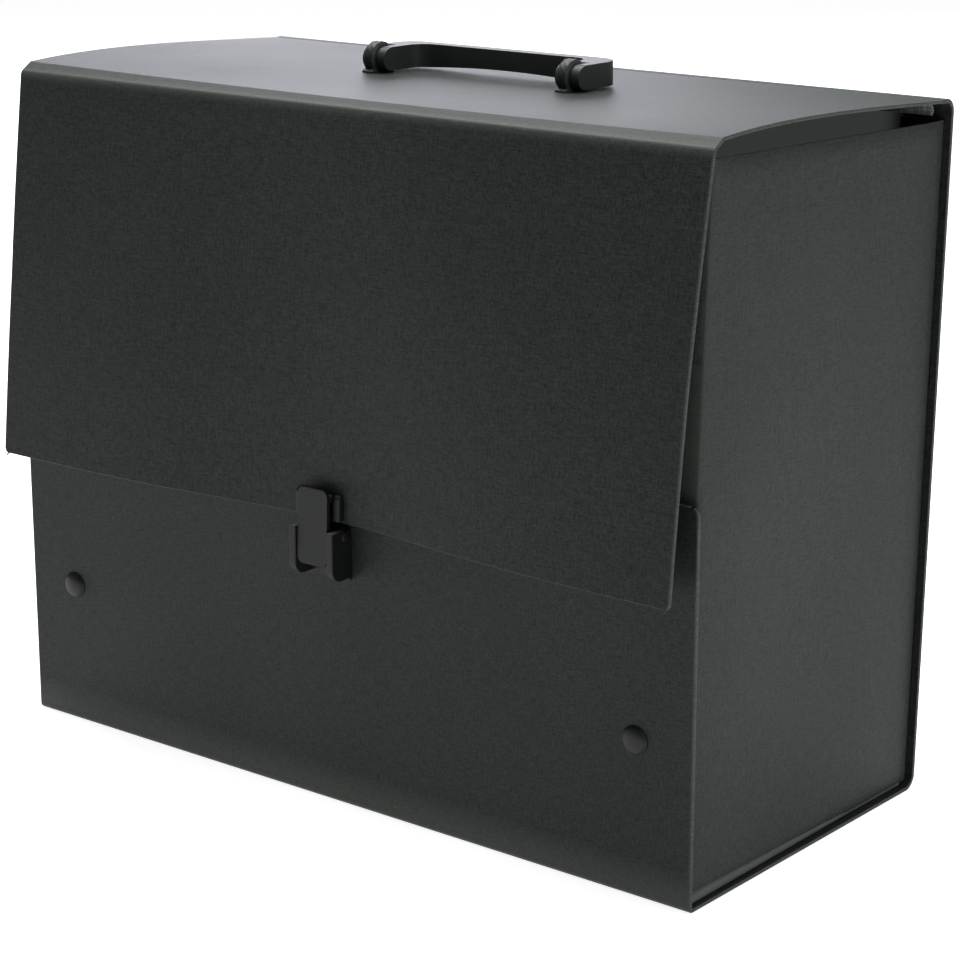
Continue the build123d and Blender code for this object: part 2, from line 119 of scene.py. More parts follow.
def noise(tree, scale, detail=2.0, stretch=(1, 1, 1), roughness=0.55):
    """Noise in object space, stretched along the axes whose factors are under 1."""
    where = tree.nodes.new("ShaderNodeTexCoord")
    place = tree.nodes.new("ShaderNodeMapping")
    place.inputs["Scale"].default_value = stretch
    texture = tree.nodes.new("ShaderNodeTexNoise")
    texture.inputs["Scale"].default_value = scale
    texture.inputs["Detail"].default_value = detail
    texture.inputs["Roughness"].default_value = roughness
    tree.links.new(where.outputs["Object"], place.inputs["Vector"])
    tree.links.new(place.outputs[0], texture.inputs["Vector"])
    return texture.outputs["Fac"]


def math_node(tree, operation, a, b):
    """One arithmetic step; a and b are sockets or numbers."""
    node = tree.nodes.new("ShaderNodeMath")
    node.operation = operation
    for socket, value in zip(node.inputs, (a, b)):
        if isinstance(value, bpy.types.NodeSocket):
            tree.links.new(value, socket)
        else:
            socket.default_value = value
    return node.outputs[0]


def ramp(tree, factor, *stops):
    """Colour ramp from (position, colour) stops."""
    node = tree.nodes.new("ShaderNodeValToRGB")
    elements = node.color_ramp.elements
    while len(elements) < len(stops):
        elements.new(0.5)
    for element, (position, colour) in zip(elements, stops):
        element.position = position
        element.color = (*colour, 1)
    tree.links.new(factor, node.inputs[0])
    return node.outputs[0]


def bump(tree, shader, height, strength, distance):
    """Adds a bump on top of whatever the shader's normal already has."""
    node = tree.nodes.new("ShaderNodeBump")
    node.inputs["Strength"].default_value = strength
    node.inputs["Distance"].default_value = distance
    tree.links.new(height, node.inputs["Height"])
    normal = shader.inputs["Normal"]
    if normal.is_linked:
        tree.links.new(normal.links[0].from_socket, node.inputs["Normal"])
    tree.links.new(node.outputs[0], normal)


def mix_colour(tree, factor, first, second):
    """Mix of two colours or colour sockets."""
    node = tree.nodes.new("ShaderNodeMix")
    node.data_type = "RGBA"
    tree.links.new(factor, node.inputs[0])
    for socket, value in ((node.inputs[6], first), (node.inputs[7], second)):
        if isinstance(value, bpy.types.NodeSocket):
            tree.links.new(value, socket)
        else:
            socket.default_value = (*value, 1)
    return node.outputs[2]


def wear(tree):
    """The mesh's own attribute for scuffing and painted highlight: 0 on flat board, up to 1 on scuffed
    folds and rims, and on the painted highlights of the lid's fold band, the rolled fold under each side
    panel and the keeper cheek tops.
    """
    node = tree.nodes.new("ShaderNodeAttribute")
    node.attribute_name = "wear"
    return node.outputs["Fac"]


def linen(tree):
    """Embossed linen grain: fine threads along all three axes with a slight fleck."""
    threads = [
        noise(tree, 1700, 2, stretch) for stretch in ((0.12, 1, 1), (1, 0.12, 1), (1, 1, 0.12))
    ]
    fleck = noise(tree, 900, 3)
    total = math_node(tree, "ADD", threads[0], threads[1])
    total = math_node(tree, "ADD", total, threads[2])
    total = math_node(tree, "ADD", total, fleck)
    return math_node(tree, "MULTIPLY", total, 0.25)


def distance_from_middle(tree):
    """Metres along X from the middle of the case, on either side."""
    where = tree.nodes.new("ShaderNodeTexCoord")
    parts = tree.nodes.new("ShaderNodeSeparateXYZ")
    tree.links.new(where.outputs["Object"], parts.inputs[0])
    return math_node(tree, "ABSOLUTE", parts.outputs["X"], 0.0)


def board_material(name, dark, light, wear_and_highlight_tone, glow=0.0):
    """Pressed fibreboard with a linen emboss, cloudy tone, and folds made lighter partly by scuffing and
    partly by painted highlight.

    glow paints the light that comes into the closed case through its open corners: an emission on the inner
    face, between the side pieces.
    """
    material, tree, shader = new_material(name)
    grain = linen(tree)
    tone = ramp(tree, grain, (0.40, dark), (0.60, light))
    clouds = noise(tree, 9, 4)
    cloudy = mix_colour(tree, math_node(tree, "MULTIPLY", clouds, 0.35), tone, dark)
    # lighter tone where the mesh attribute is high: scuffing on folds and rims, and painted highlight on
    # the lid's fold band and on the rolled fold under each side panel
    wear_and_highlight_mask = math_node(tree, "MULTIPLY", wear(tree), math_node(tree, "ADD", grain, 0.25))
    tree.links.new(mix_colour(tree, wear_and_highlight_mask, cloudy, wear_and_highlight_tone), shader.inputs["Base Color"])
    rough = math_node(tree, "ADD", math_node(tree, "MULTIPLY", clouds, 0.10), 0.43)
    tree.links.new(
        math_node(tree, "ADD", rough, math_node(tree, "MULTIPLY", grain, 0.10)),
        shader.inputs["Roughness"],
    )
    shader.inputs["Specular IOR Level"].default_value = 0.17
    if glow:
        # painted light: the inner face glows between the side pieces, standing in for light that comes in
        # through the open corners
        inside = ramp(tree, distance_from_middle(tree), (0.158, (0.88, 1, 0.92)), (0.166, (0, 0, 0)))
        tree.links.new(inside, shader.inputs["Emission Color"])
        shader.inputs["Emission Strength"].default_value = glow
    bump(tree, shader, grain, 0.8, 0.0003)
    bump(tree, shader, noise(tree, 60, 3), 0.06, 0.0004)
    return material


def fibre_edge_material(name, dark, light):
    """Cut edge of the board: short fibres in thin layers."""
    material, tree, shader = new_material(name)
    fibres = noise(tree, 1400, 3, (0.3, 0.3, 1))
    tree.links.new(ramp(tree, fibres, (0.3, dark), (0.7, light)), shader.inputs["Base Color"])
    shader.inputs["Roughness"].default_value = 0.75
    bump(tree, shader, fibres, 0.5, 0.0002)
    return material


def plastic_material(name, colour, roughness, gloss=0.5):
    """Moulded plastic with a fine spark-eroded grain and small changes in gloss."""
    material, tree, shader = new_material(name)
    smudge = noise(tree, 70, 4)
    lighter = tuple(c * 1.5 for c in colour)
    # painted highlight: where the mesh attribute is set (only the keeper cheek tops) the colour goes
    # towards a light grey
    wear_and_highlight_mask = math_node(tree, "MULTIPLY", wear(tree), 0.35)
    base = ramp(tree, smudge, (0.35, colour), (0.75, lighter))
    tree.links.new(mix_colour(tree, wear_and_highlight_mask, base, (0.30, 0.31, 0.30)), shader.inputs["Base Color"])
    varied = math_node(tree, "MULTIPLY_ADD", smudge, 0.16)
    varied.node.inputs[2].default_value = roughness
    tree.links.new(varied, shader.inputs["Roughness"])
    shader.inputs["Specular IOR Level"].default_value = gloss
    bump(tree, shader, noise(tree, 2600, 2), 0.12, 0.00008)
    return material


def steel_material(name, dark, light):
    """Steel with drawn lines along X and a little staining."""
    material, tree, shader = new_material(name)
    lines = noise(tree, 2500, 2, (0.05, 1, 1))
    stain = noise(tree, 120, 4)
    tree.links.new(
        ramp(tree, stain, (0.3, dark), (0.7, light)),
        shader.inputs["Base Color"],
    )
    shader.inputs["Metallic"].default_value = 1.0
    varied = math_node(tree, "MULTIPLY_ADD", lines, 0.2)
    varied.node.inputs[2].default_value = 0.26
    tree.links.new(varied, shader.inputs["Roughness"])
    bump(tree, shader, lines, 0.15, 0.0001)
    return material


def tape_material(name):
    """Woven cloth tape: two crossed sets of threads, soft sheen."""
    material, tree, shader = new_material(name)
    warp = noise(tree, 1500, 1, (0.06, 1, 1))
    weft = noise(tree, 1500, 1, (1, 0.06, 0.06))
    weave = math_node(tree, "MULTIPLY", math_node(tree, "ADD", warp, weft), 0.5)
    # pale grey cloth, with both colours also set lighter to paint the light that reaches the tape through
    # the gap under the lid
    tree.links.new(
        ramp(tree, weave, (0.35, (0.22, 0.22, 0.23)), (0.65, (0.66, 0.66, 0.68))),
        shader.inputs["Base Color"],
    )
    shader.inputs["Roughness"].default_value = 0.8
    shader.inputs["Sheen Weight"].default_value = 0.4
    bump(tree, shader, weave, 0.7, 0.0003)
    return material


# lighter tone for scuffed folds and rims, also used for painted highlights
SCUFF_AND_HIGHLIGHT_TONE = (0.10, 0.11, 0.10)
BOARD = board_material("linen_board", (0.004, 0.0055, 0.0045), (0.029, 0.0365, 0.031), SCUFF_AND_HIGHLIGHT_TONE)
# inner face of the case sheet, with a painted glow for the light that comes in through the open corners
BOARD_INNER_LIGHT = board_material(
    "linen_board_lined", (0.005, 0.006, 0.0055), (0.031, 0.0355, 0.032), SCUFF_AND_HIGHLIGHT_TONE, 0.036
)
CUT_EDGE = fibre_edge_material("board_cut_edge", (0.012, 0.014, 0.012), (0.055, 0.06, 0.055))
PLASTIC = plastic_material("black_moulded_plastic", (0.017, 0.0185, 0.018), 0.46)
LATCH = plastic_material("latch_plastic", (0.004, 0.0048, 0.0044), 0.42, 0.28)
RIVET = plastic_material("rivet_plastic", (0.006, 0.007, 0.0065), 0.38, 0.3)
BLACK_STEEL = steel_material("blackened_steel", (0.02, 0.02, 0.021), (0.045, 0.045, 0.046))
STEEL = steel_material("plain_steel", (0.36, 0.36, 0.37), (0.52, 0.52, 0.53))
TAPE = tape_material("cloth_tape")


# ---- mesh helpers ------------------------------------------------------------------------------
def add_object(name, vertices, faces, materials, face_materials=None, wear_and_highlight_list=None):
    """A smooth-shaded mesh object from plain lists."""
    mesh = bpy.data.meshes.new(name)
    mesh.from_pydata([tuple(v) for v in vertices], [], faces)
    for material in materials:
        mesh.materials.append(material)
    if face_materials is not None:
        mesh.polygons.foreach_set("material_index", face_materials)
    mesh.polygons.foreach_set("use_smooth", [True] * len(mesh.polygons))
    attribute = mesh.attributes.new("wear", "FLOAT", "POINT")
    values = wear_and_highlight_list if wear_and_highlight_list is not None else [0.0] * len(mesh.vertices)
    attribute.data.foreach_set("value", [float(w) for w in values])
    fix = bmesh.new()
    fix.from_mesh(mesh)
    bmesh.ops.recalc_face_normals(fix, faces=fix.faces)
    fix.to_mesh(mesh)
    fix.free()
    mesh.validate()
    piece = bpy.data.objects.new(name, mesh)
    bpy.context.scene.collection.objects.link(piece)
    return piece


def board_sheet(surface, rows, columns, thickness, rim, wear_and_highlight_of=None):
    """Vertices, faces, material numbers, and values for scuffing and painted highlight, of a closed board.

    surface(u, v, inset) gives a point and its outward normal; rows and columns are u and v. The rim
    round the sheet is a soft bullnose: the outer face stops one rim radius short, and four rings
    carry it round to the inner face.
    """
    def layer(inset, depth):
        points = np.empty((len(rows), len(columns), 3))
        for i, u in enumerate(rows):
            for j, v in enumerate(columns):
                point, normal = surface(u, v, inset)
                points[i, j] = point - normal * depth
        return points

    n, m = len(rows), len(columns)
    outer, inner = layer(rim, 0.0), layer(rim, thickness)
    border = [(0, j) for j in range(m)] + [(i, m - 1) for i in range(1, n)]
    border += [(n - 1, j) for j in range(m - 2, -1, -1)] + [(i, 0) for i in range(n - 2, 0, -1)]

    def ring(inset, depth):
        found = []
        for i, j in border:
            point, normal = surface(rows[i], columns[j], inset)
            found.append(point - normal * depth)
        return found

    vertices = [p for row in outer for p in row] + [p for row in inner for p in row]
    wear_and_highlight_values = [wear_and_highlight_of(u, v) if wear_and_highlight_of else 0.0 for u in rows for v in columns]
    wear_and_highlight_values += [0.0] * (n * m)
    faces, kinds = [], []
    for i in range(n - 1):
        for j in range(m - 1):
            a, b, c, d = i * m + j, i * m + j + 1, (i + 1) * m + j + 1, (i + 1) * m + j
            faces += [(a, b, c, d), (a + n * m, d + n * m, c + n * m, b + n * m)]
            kinds += [0, 2]
    loops = [[i * m + j for i, j in border]]
    soft = rim * (1 - 1 / sqrt(2))
    for inset, depth in ((soft, soft), (0, rim), (0, thickness - rim), (soft, thickness - soft)):
        start = len(vertices)
        vertices += ring(inset, depth)
        wear_and_highlight_values += [0.8] * len(border)
        loops.append(list(range(start, start + len(border))))
    loops.append([n * m + i * m + j for i, j in border])
    count = len(border)
    for k, (first, second) in enumerate(zip(loops[:-1], loops[1:])):
        for i in range(count):
            j = (i + 1) % count
            faces.append((first[i], second[i], second[j], first[j]))
            kinds.append(1 if k in (1, 2, 3) else 0)
    return vertices, faces, kinds, wear_and_highlight_values


def surface_from(point_at, span_u, span_v):
    """Wraps point_at(u, v) with a numeric outward normal and an inset from the four rims."""
    (u_low, u_high), (v_low, v_high) = span_u, span_v
    step = 0.0004

    def surface(u, v, inset):
        at = point_at(u, v)
        du = np.subtract(point_at(min(u + step, u_high), v), point_at(max(u - step, u_low), v))
        dv = np.subtract(point_at(u, min(v + step, v_high)), point_at(u, max(v - step, v_low)))
        normal = np.cross(du, dv)
        normal /= np.linalg.norm(normal)
        if inset:
            if u <= u_low:
                at = at + du / np.linalg.norm(du) * inset
            if u >= u_high:
                at = at - du / np.linalg.norm(du) * inset
            if v <= v_low:
                at = at + dv / np.linalg.norm(dv) * inset
            if v >= v_high:
                at = at - dv / np.linalg.norm(dv) * inset
        return at, normal

    return surface


def facing(surface, outward_at):
    """The same surface with its normals turned to the side that outward_at(point) gives."""
    def turned(u, v, inset):
        where, normal = surface(u, v, inset)
        return where, normal if normal @ outward_at(where) > 0 else -normal

    return turned


def rounded_path(corners, radii, spacing, arc_steps=10):
    """Points along a 2D polyline whose inner corners are replaced with arcs."""
    corners = [np.array(c, float) for c in corners]
    points = [corners[0]]
    for before, corner, after, radius in zip(corners, corners[1:], corners[2:], radii):
        a = (before - corner) / np.linalg.norm(before - corner)
        b = (after - corner) / np.linalg.norm(after - corner)
        turn = np.arccos(np.clip(a @ b, -1, 1))
        cut = radius / np.tan(turn / 2)
        start, end = corner + a * cut, corner + b * cut
        centre = corner + (a + b) / np.linalg.norm(a + b) * radius / np.sin(turn / 2)
        run = np.linalg.norm(start - points[-1])
        for k in range(1, max(int(run / spacing), 1)):
            points.append(points[-1] + (start - points[-1]) / (max(int(run / spacing), 1) - k + 1))
        for k in range(arc_steps + 1):
            share = k / arc_steps
            angle = pi - turn
            spoke = (start - centre) * np.sin((1 - share) * angle) + (end - centre) * np.sin(share * angle)
            points.append(centre + spoke / np.sin(angle))
    run = np.linalg.norm(corners[-1] - points[-1])
    steps = max(int(run / spacing), 1)
    origin = points[-1]
    for k in range(1, steps + 1):
        points.append(origin + (corners[-1] - origin) * k / steps)
    return np.array(points)


def along(points):
    """Distance of each point of a path from its start."""
    return np.concatenate([[0], np.cumsum(np.linalg.norm(np.diff(points, axis=0), axis=1))])


def corner_cut(distance, radius):
    """How much a rim steps in at this distance from a rounded corner's end."""
    if distance >= radius:
        return 0.0
    return radius - sqrt(max(radius**2 - (radius - distance) ** 2, 0.0))


def spread(low, high, spacing, fine_ends=()):
    """Even values from low to high, plus extra ones near both ends for rounded corners."""
    count = max(int(round((high - low) / spacing)), 1)
    values = {round(low + (high - low) * k / count, 7) for k in range(count + 1)}
    for extra in fine_ends:
        values |= {round(low + extra, 7), round(high - extra, 7)}
    return sorted(values)


def prism(name, outline, origin, across, up, depth, bevel, materials):
    """A bevelled solid: outline in the (across, up) plane, extruded to both sides along their normal."""
    across, up = Vector(across).normalized(), Vector(up).normalized()
    normal = across.cross(up).normalized()
    build = bmesh.new()
    ring = [
        build.verts.new(Vector(origin) + across * a + up * b - normal * depth / 2) for a, b in outline
    ]
    base = build.faces.new(ring)
    top = bmesh.ops.extrude_face_region(build, geom=[base])
    moved = [g for g in top["geom"] if isinstance(g, bmesh.types.BMVert)]
    bmesh.ops.translate(build, verts=moved, vec=normal * depth)
    bmesh.ops.recalc_face_normals(build, faces=build.faces)
    sharp = [e for e in build.edges if e.calc_face_angle(0) > radians(25)]
    bmesh.ops.bevel(
        build, geom=sharp, offset=bevel, segments=3, profile=0.5, affect="EDGES", clamp_overlap=True
    )
    mesh = bpy.data.meshes.new(name)
    for material in materials:
        mesh.materials.append(material)
    build.to_mesh(mesh)
    build.free()
    mesh.polygons.foreach_set("use_smooth", [True] * len(mesh.polygons))
    attribute = mesh.attributes.new("wear", "FLOAT", "POINT")
    attribute.data.foreach_set("value", [0.0] * len(mesh.vertices))
    piece = bpy.data.objects.new(name, mesh)
    bpy.context.scene.collection.objects.link(piece)
    weighted = piece.modifiers.new("even_normals", "WEIGHTED_NORMAL")
    weighted.mode = "FACE_AREA"
    weighted.weight = 80
    return piece


def lathe(name, profile, origin, axis, materials, segments=48, pebbles=0.0):
    """Turns (radius, height) points round an axis; pebbles lift the widest rings by up to that much."""
    axis = Vector(axis).normalized()
    side = axis.orthogonal().normalized()
    other = axis.cross(side)
    widest = max(radius for radius, height in profile)
    vertices, faces = [], []
    for k in range(segments):
        angle = tau * k / segments
        for radius, height in profile:
            if radius > 0.97 * widest:
                radius += pebbles * sin(angle * 31 + height * 2600) * sin(angle * 17 - height * 3900)
            spoke = side * cos(angle) + other * sin(angle)
            vertices.append(Vector(origin) + spoke * radius + axis * height)
    count = len(profile)
    for k in range(segments):
        n = (k + 1) % segments
        for i in range(count - 1):
            faces.append((k * count + i, n * count + i, n * count + i + 1, k * count + i + 1))
    piece = add_object(name, vertices, faces, materials)
    weld = bmesh.new()
    weld.from_mesh(piece.data)
    bmesh.ops.remove_doubles(weld, verts=weld.verts, dist=1e-6)
    weld.to_mesh(piece.data)
    weld.free()
    return piece


def join(name, pieces):
    """Joins pieces into the first one and renames it."""
    for piece in pieces:
        for modifier in list(piece.modifiers):
            with bpy.context.temp_override(object=piece, active_object=piece, selected_objects=[piece]):
                bpy.ops.object.modifier_apply(modifier=modifier.name)
    with bpy.context.temp_override(
        active_object=pieces[0], selected_objects=pieces, selected_editable_objects=pieces
    ):
        bpy.ops.object.join()
    pieces[0].name = name
    pieces[0].data.name = name
    return pieces[0]


def cut(target, tool, operation="DIFFERENCE"):
    """Boolean of target with tool, applied; the tool is removed."""
    modifier = target.modifiers.new("cut", "BOOLEAN")
    modifier.operation = operation
    modifier.object = tool
    modifier.solver = "EXACT"
    with bpy.context.temp_override(object=target, active_object=target, selected_objects=[target]):
        bpy.ops.object.modifier_apply(modifier=modifier.name)
    bpy.data.objects.remove(tool)


def soften(piece, width, segments):
    """Rounds the sharp edges and keeps the flats flat."""
    bevel = piece.modifiers.new("rounded_edges", "BEVEL")
    bevel.width = width
    bevel.segments = segments
    bevel.limit_method = "ANGLE"
    bevel.angle_limit = radians(32)
    bevel.harden_normals = True
    piece.data.polygons.foreach_set("use_smooth", [True] * len(piece.data.polygons))


def arc_points(centre, radius, start, end, steps=16):
    """Points on a circle from start to end, in degrees."""
    angles = [radians(start + (end - start) * k / steps) for k in range(steps + 1)]
    return [(centre[0] + radius * cos(a), centre[1] + radius * sin(a)) for a in angles]


def rounded_outline(width, height, radius, centre=(0.0, 0.0), steps=6):
    """Rectangle with rounded corners."""
    points = []
    for sx, sy, start in ((1, 1, 0), (-1, 1, 90), (-1, -1, 180), (1, -1, 270)):
        corner = (centre[0] + sx * (width / 2 - radius), centre[1] + sy * (height / 2 - radius))
        points += arc_points(corner, radius, start, start + 90, steps)
    return points


# ---- the folded case sheet ---------------------------------------------------------------------
def rear_face_y(z):
    """Outer face of the back panel, which leans back towards its top."""
    return rear_foot_y + (z - floor_fold_radius) * rear_lean


def lid_face_z(x, y):
    """Height of the lid's outer face: nearly flat along its middle, arched at its two ends."""
    share = min(max((y - crease_y) / (lid_rear_y - crease_y), 0.0), 1.0)
    arch = (0.2 + 3.8 * (x / half_width) ** 2) * MM
    back = y - crease_y
    ahead = max(lid_rear_y - y, 0.0)
    ridge = fold_band_rise * min(back / fold_band, (ahead / (lid_rear_y - crease_y - fold_band)) ** 2)
    return crease_z + (lid_rear_z - crease_z) * share + arch * sin(pi * share**0.75) + max(ridge, 0.0)


def flap_face_y(x, z):
    """Outer face of the flap, which the hasp pulls in at the middle of its bottom edge."""
    drop = (crease_z - z) / (crease_z - flap_bottom_z)
    free = 1 - exp(-((x / flap_pull_width) ** 2))
    swing = flap_swing_middle + (flap_swing_end - flap_swing_middle) * free
    return crease_y - swing * drop - flap_bow * sin(pi * drop)


case_path = rounded_path(
    [
        (front_y, front_top_z),
        (front_y, 0.0),
        (rear_foot_y, 0.0),
        (rear_face_y(rear_fold_z + 6 * MM), rear_fold_z + 6 * MM),
        (seam_y, lid_rear_z),
    ],
    [crisp_fold_radius, floor_fold_radius - 0.4 * MM, rear_fold_radius],
    14 * MM,
)
case_stations = along(case_path)
lid_path = rounded_path(
    [(seam_y - 0.15 * MM, 0.0), (crease_y, 0.0), (crease_y, flap_bottom_z - crease_z)],
    [1.1 * MM],
    2.5 * MM,
    arc_steps=8,
)
lid_stations = along(lid_path)


def case_point(u, x):
    """Point of the case sheet's outer face at distance u along its folded profile."""
    y = np.interp(u, case_stations, case_path[:, 0])
    z = np.interp(u, case_stations, case_path[:, 1])
    if abs(x) > half_width - panel_corner and u < panel_corner:
        inward = corner_cut(u, panel_corner) * (1 - (half_width - abs(x)) / panel_corner)
        x -= inward if x > 0 else -inward
    return np.array([x, y, z])


def lid_point(u, x):
    """Point of the lid and flap sheet: over the lid, round the crease and down the flap."""
    a = np.interp(u, lid_stations, lid_path[:, 0])
    b = np.interp(u, lid_stations, lid_path[:, 1])
    drop = -b
    flap_share = min(max(drop / (90 * MM), 0), 1)
    x *= 1 - (1 - flap_half / half_width) * flap_share
    rise = lid_face_z(x, max(a, crease_y)) - crease_z
    swing = flap_face_y(x, crease_z - drop) - crease_y
    left = lid_stations[-1] - u
    if abs(x) > flap_half - flap_corner and left < flap_corner:
        inward = corner_cut(left, flap_corner) * (1 - (flap_half - abs(x)) / flap_corner)
        x -= inward if x > 0 else -inward
    return np.array([x, a + swing, crease_z + rise - drop])


def fold_wear(bends, reach):
    """Wear that fades out over reach on both sides of each bend."""
    def value(u, x):
        edge = max(0.0, 1 - (half_width - abs(x)) / (1.2 * MM)) * 0.5
        near = max(max(0.0, 1 - abs(u - bend) / reach) for bend in bends)
        return max(near**2, edge)

    return value


def case_sheet():
    """Front panel, floor, back panel and rear fold, in one folded board."""
    fine_x = [d * MM for d in (0.6, 1.2, 2.0, 3.0, 4.0, 6.0)]
    columns = spread(-half_width, half_width, column_step, fine_x)
    rows = sorted(set(list(case_stations) + [d * MM for d in (0.3, 0.8, 1.5, 2.4, 3.2, 4.0, 5.5)]))
    bends = [front_top_z, front_top_z + 2 * rear_foot_y, case_stations[-1] - 12 * MM]
    surface = surface_from(case_point, (rows[0], rows[-1]), (columns[0], columns[-1]))
    parts = board_sheet(surface, rows, columns, board, sheet_rim, fold_wear(bends, 7 * MM))
    # the third material, on the inner face, carries the painted glow
    piece = add_object("case_sheet", parts[0], parts[1], [BOARD, CUT_EDGE, BOARD_INNER_LIGHT], parts[2], parts[3])
    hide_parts("outer_wrap")
    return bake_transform(piece)


def lid_and_flap():
    """Lid and front flap: the rest of the folded board, round the front crease."""
    fine_x = [d * MM for d in (0.6, 1.2, 2.0, 3.0, 4.0, 5.0, 7.0)]
    columns = spread(-half_width, half_width, column_step, fine_x)
    end = lid_stations[-1]
    lid_run = seam_y - crease_y
    rows = set(lid_stations) | {end - d * MM for d in (0.3, 0.8, 1.5, 2.4, 3.4, 5.0, 7.0)}
    rows |= {lid_run - d * MM for d in (2, 3.5, 5, 5.5, 5.8, 6.1, 6.5, 7.2, 8.5, 10, 12, 14, 17)}
    rows |= {lid_run + d * MM for d in (0.5, 1.5, 3, 5)} | {d * MM for d in (0.3, 0.8, 1.6)}
    rows = sorted(rows)
    surface = surface_from(lid_point, (rows[0], rows[-1]), (columns[0], columns[-1]))
    creases = fold_wear([lid_run - 1.2 * MM], 4.5 * MM)

    def wear_and_highlight_of(u, v):
        """Rubbed along the crease; the lighter value over the whole fold band is a painted highlight for
        the light the tilted band catches from above.
        """
        on_highlight_band = 0 < lid_run - u < fold_band + 0.5 * MM
        return max(creases(u, v), 0.45 if on_highlight_band else 0.0)

    parts = board_sheet(surface, rows, columns, 1.5 * MM, sheet_rim, wear_and_highlight_of)
    piece = add_object("lid_and_flap", parts[0], parts[1], [BOARD, CUT_EDGE, BOARD], parts[2], parts[3])
    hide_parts("lid_top_panel", "front_flap_panel")
    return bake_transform(piece)


# ---- side pieces -------------------------------------------------------------------------------
def side_front_y(z):
    """Outer face of the side piece's front tab at height z."""
    low_y = front_y + board
    if z <= side_lean_start:
        return low_y
    share = (z - side_lean_start) / (side_top_front - side_lean_start)
    return low_y + (side_front_y_at_top - low_y) * share


def side_rear_y(z):
    """Outer face of the side piece's rear tab, flat against the back panel."""
    return rear_face_y(z) - board


def side_piece(name, node, side):
    """One bent board: front tab, rounded fold, side panel, rounded fold and rear tab."""
    front_tab, rear_tab, radius = 28 * MM, 21 * MM, 2.0 * MM
    base_z, fall_run, hollow_depth = 3.4 * MM, 160 * MM, 1.0 * MM

    def section(z):
        points = rounded_path(
            [
                (side_x - front_tab, side_front_y(z)),
                (side_x, side_front_y(z)),
                (side_x, side_rear_y(z)),
                (side_x - rear_tab, side_rear_y(z)),
            ],
            [radius, radius],
            400 * MM,
            arc_steps=6,
        )
        return points, along(points)

    def point(u, v):
        z_front = base_z + (side_top_front - base_z) * v
        points, stations = section(z_front)
        u = u * stations[-1]
        x, y = np.interp(u, stations, points[:, 0]), np.interp(u, stations, points[:, 1])
        behind = min(max((y - side_front_y(z_front)) / fall_run, 0), 1)
        fall = (side_top_front - side_top_rear) * behind
        across = min(max((y + 85 * MM) / (172 * MM), 0), 1)
        hollow = hollow_depth * sin(pi * v) * sin(pi * across) ** 2
        if x < side_x - 1 * MM:
            hollow = 0.0
        return np.array([side * (x - hollow), y, z_front - fall * v])

    points, stations = section(150 * MM)
    total = stations[-1]
    rows = {0.0, 0.5 / 300, 1.0, 1 - 0.5 / 300}
    rows |= {s / total for s in stations}
    start, end = stations[len(stations) // 2 - 1] / total, stations[len(stations) // 2] / total
    rows |= {start + (end - start) * k / 18 for k in range(19)}
    rows = sorted({round(r, 6) for r in rows})
    columns = [k / 36 for k in range(37)]

    def outward_at(where):
        """Out through the panel, or forwards and backwards from the tabs."""
        if abs(where[0]) > side_x - 3 * MM:
            return np.array([side * 1.0, 0.0, 0.0])
        return np.array([0.0, -1.0 if where[1] < 0 else 1.0, 0.0])

    def wear_and_highlight_values(u, v):
        x, y, z = point(u, v)
        if abs(x) <= side_x - 4 * MM:
            return 0.0
        near = min(abs(y - side_front_y(z)), abs(y - side_rear_y(z)))
        return max(0.0, 1 - near / (3 * MM)) ** 2 * 0.8

    surface = facing(surface_from(point, (0.0, 1.0), (0.0, 1.0)), outward_at)
    parts = board_sheet(surface, rows, columns, side_board, 0.25 * MM, wear_and_highlight_values)
    panel = add_object(name, parts[0], parts[1], [BOARD, CUT_EDGE, BOARD], parts[2], parts[3])
    piece = join(name, [panel, bottom_fold(name + "_fold", side)])
    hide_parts(node)
    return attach(piece, "case")


def bottom_fold(name, side):
    """The side piece's floor tab and the rolled fold under the panel, thicker towards the front."""
    y_low, y_high = front_y + board + 0.8 * MM, rear_foot_y - 8 * MM

    def point(u, v):
        y = y_low + (y_high - y_low) * v
        proud = 1.0 * MM * max(0.0, 1 - (y - y_low) / (120 * MM))
        path = rounded_path(
            [
                (side_x - 26 * MM, board + 0.05 * MM),
                (side_x + proud, board + 0.05 * MM),
                (side_x + proud, board + 2.2 * MM + proud * 2.2),
                (side_x - 0.4 * MM, board + 2.9 * MM + proud * 2.6),
            ],
            [1.3 * MM, 0.5 * MM],
            400 * MM,
            arc_steps=5,
        )
        stations = along(path)
        u = u * stations[-1]
        return np.array(
            [side * np.interp(u, stations, path[:, 0]), y, np.interp(u, stations, path[:, 1])]
        )

    # painted highlight: the rolled fold is made lighter to stand for the pale floor reflected in it
    def wear_and_highlight_values(u, v):
        return 0.9 if u > 0.8 else 0.0

    outward = np.array([side * 0.8, 0.0, -0.6])
    surface = facing(surface_from(point, (0.0, 1.0), (0.0, 1.0)), lambda where: outward)
    rows = [0.0, 0.4, 0.7] + [0.78 + 0.22 * k / 16 for k in range(17)]
    columns = [k / 30 for k in range(31)]
    parts = board_sheet(surface, rows, columns, 0.9 * MM, 0.15 * MM, wear_and_highlight_values)
    return add_object(name, parts[0], parts[1], [BOARD, CUT_EDGE, BOARD], parts[2], parts[3])


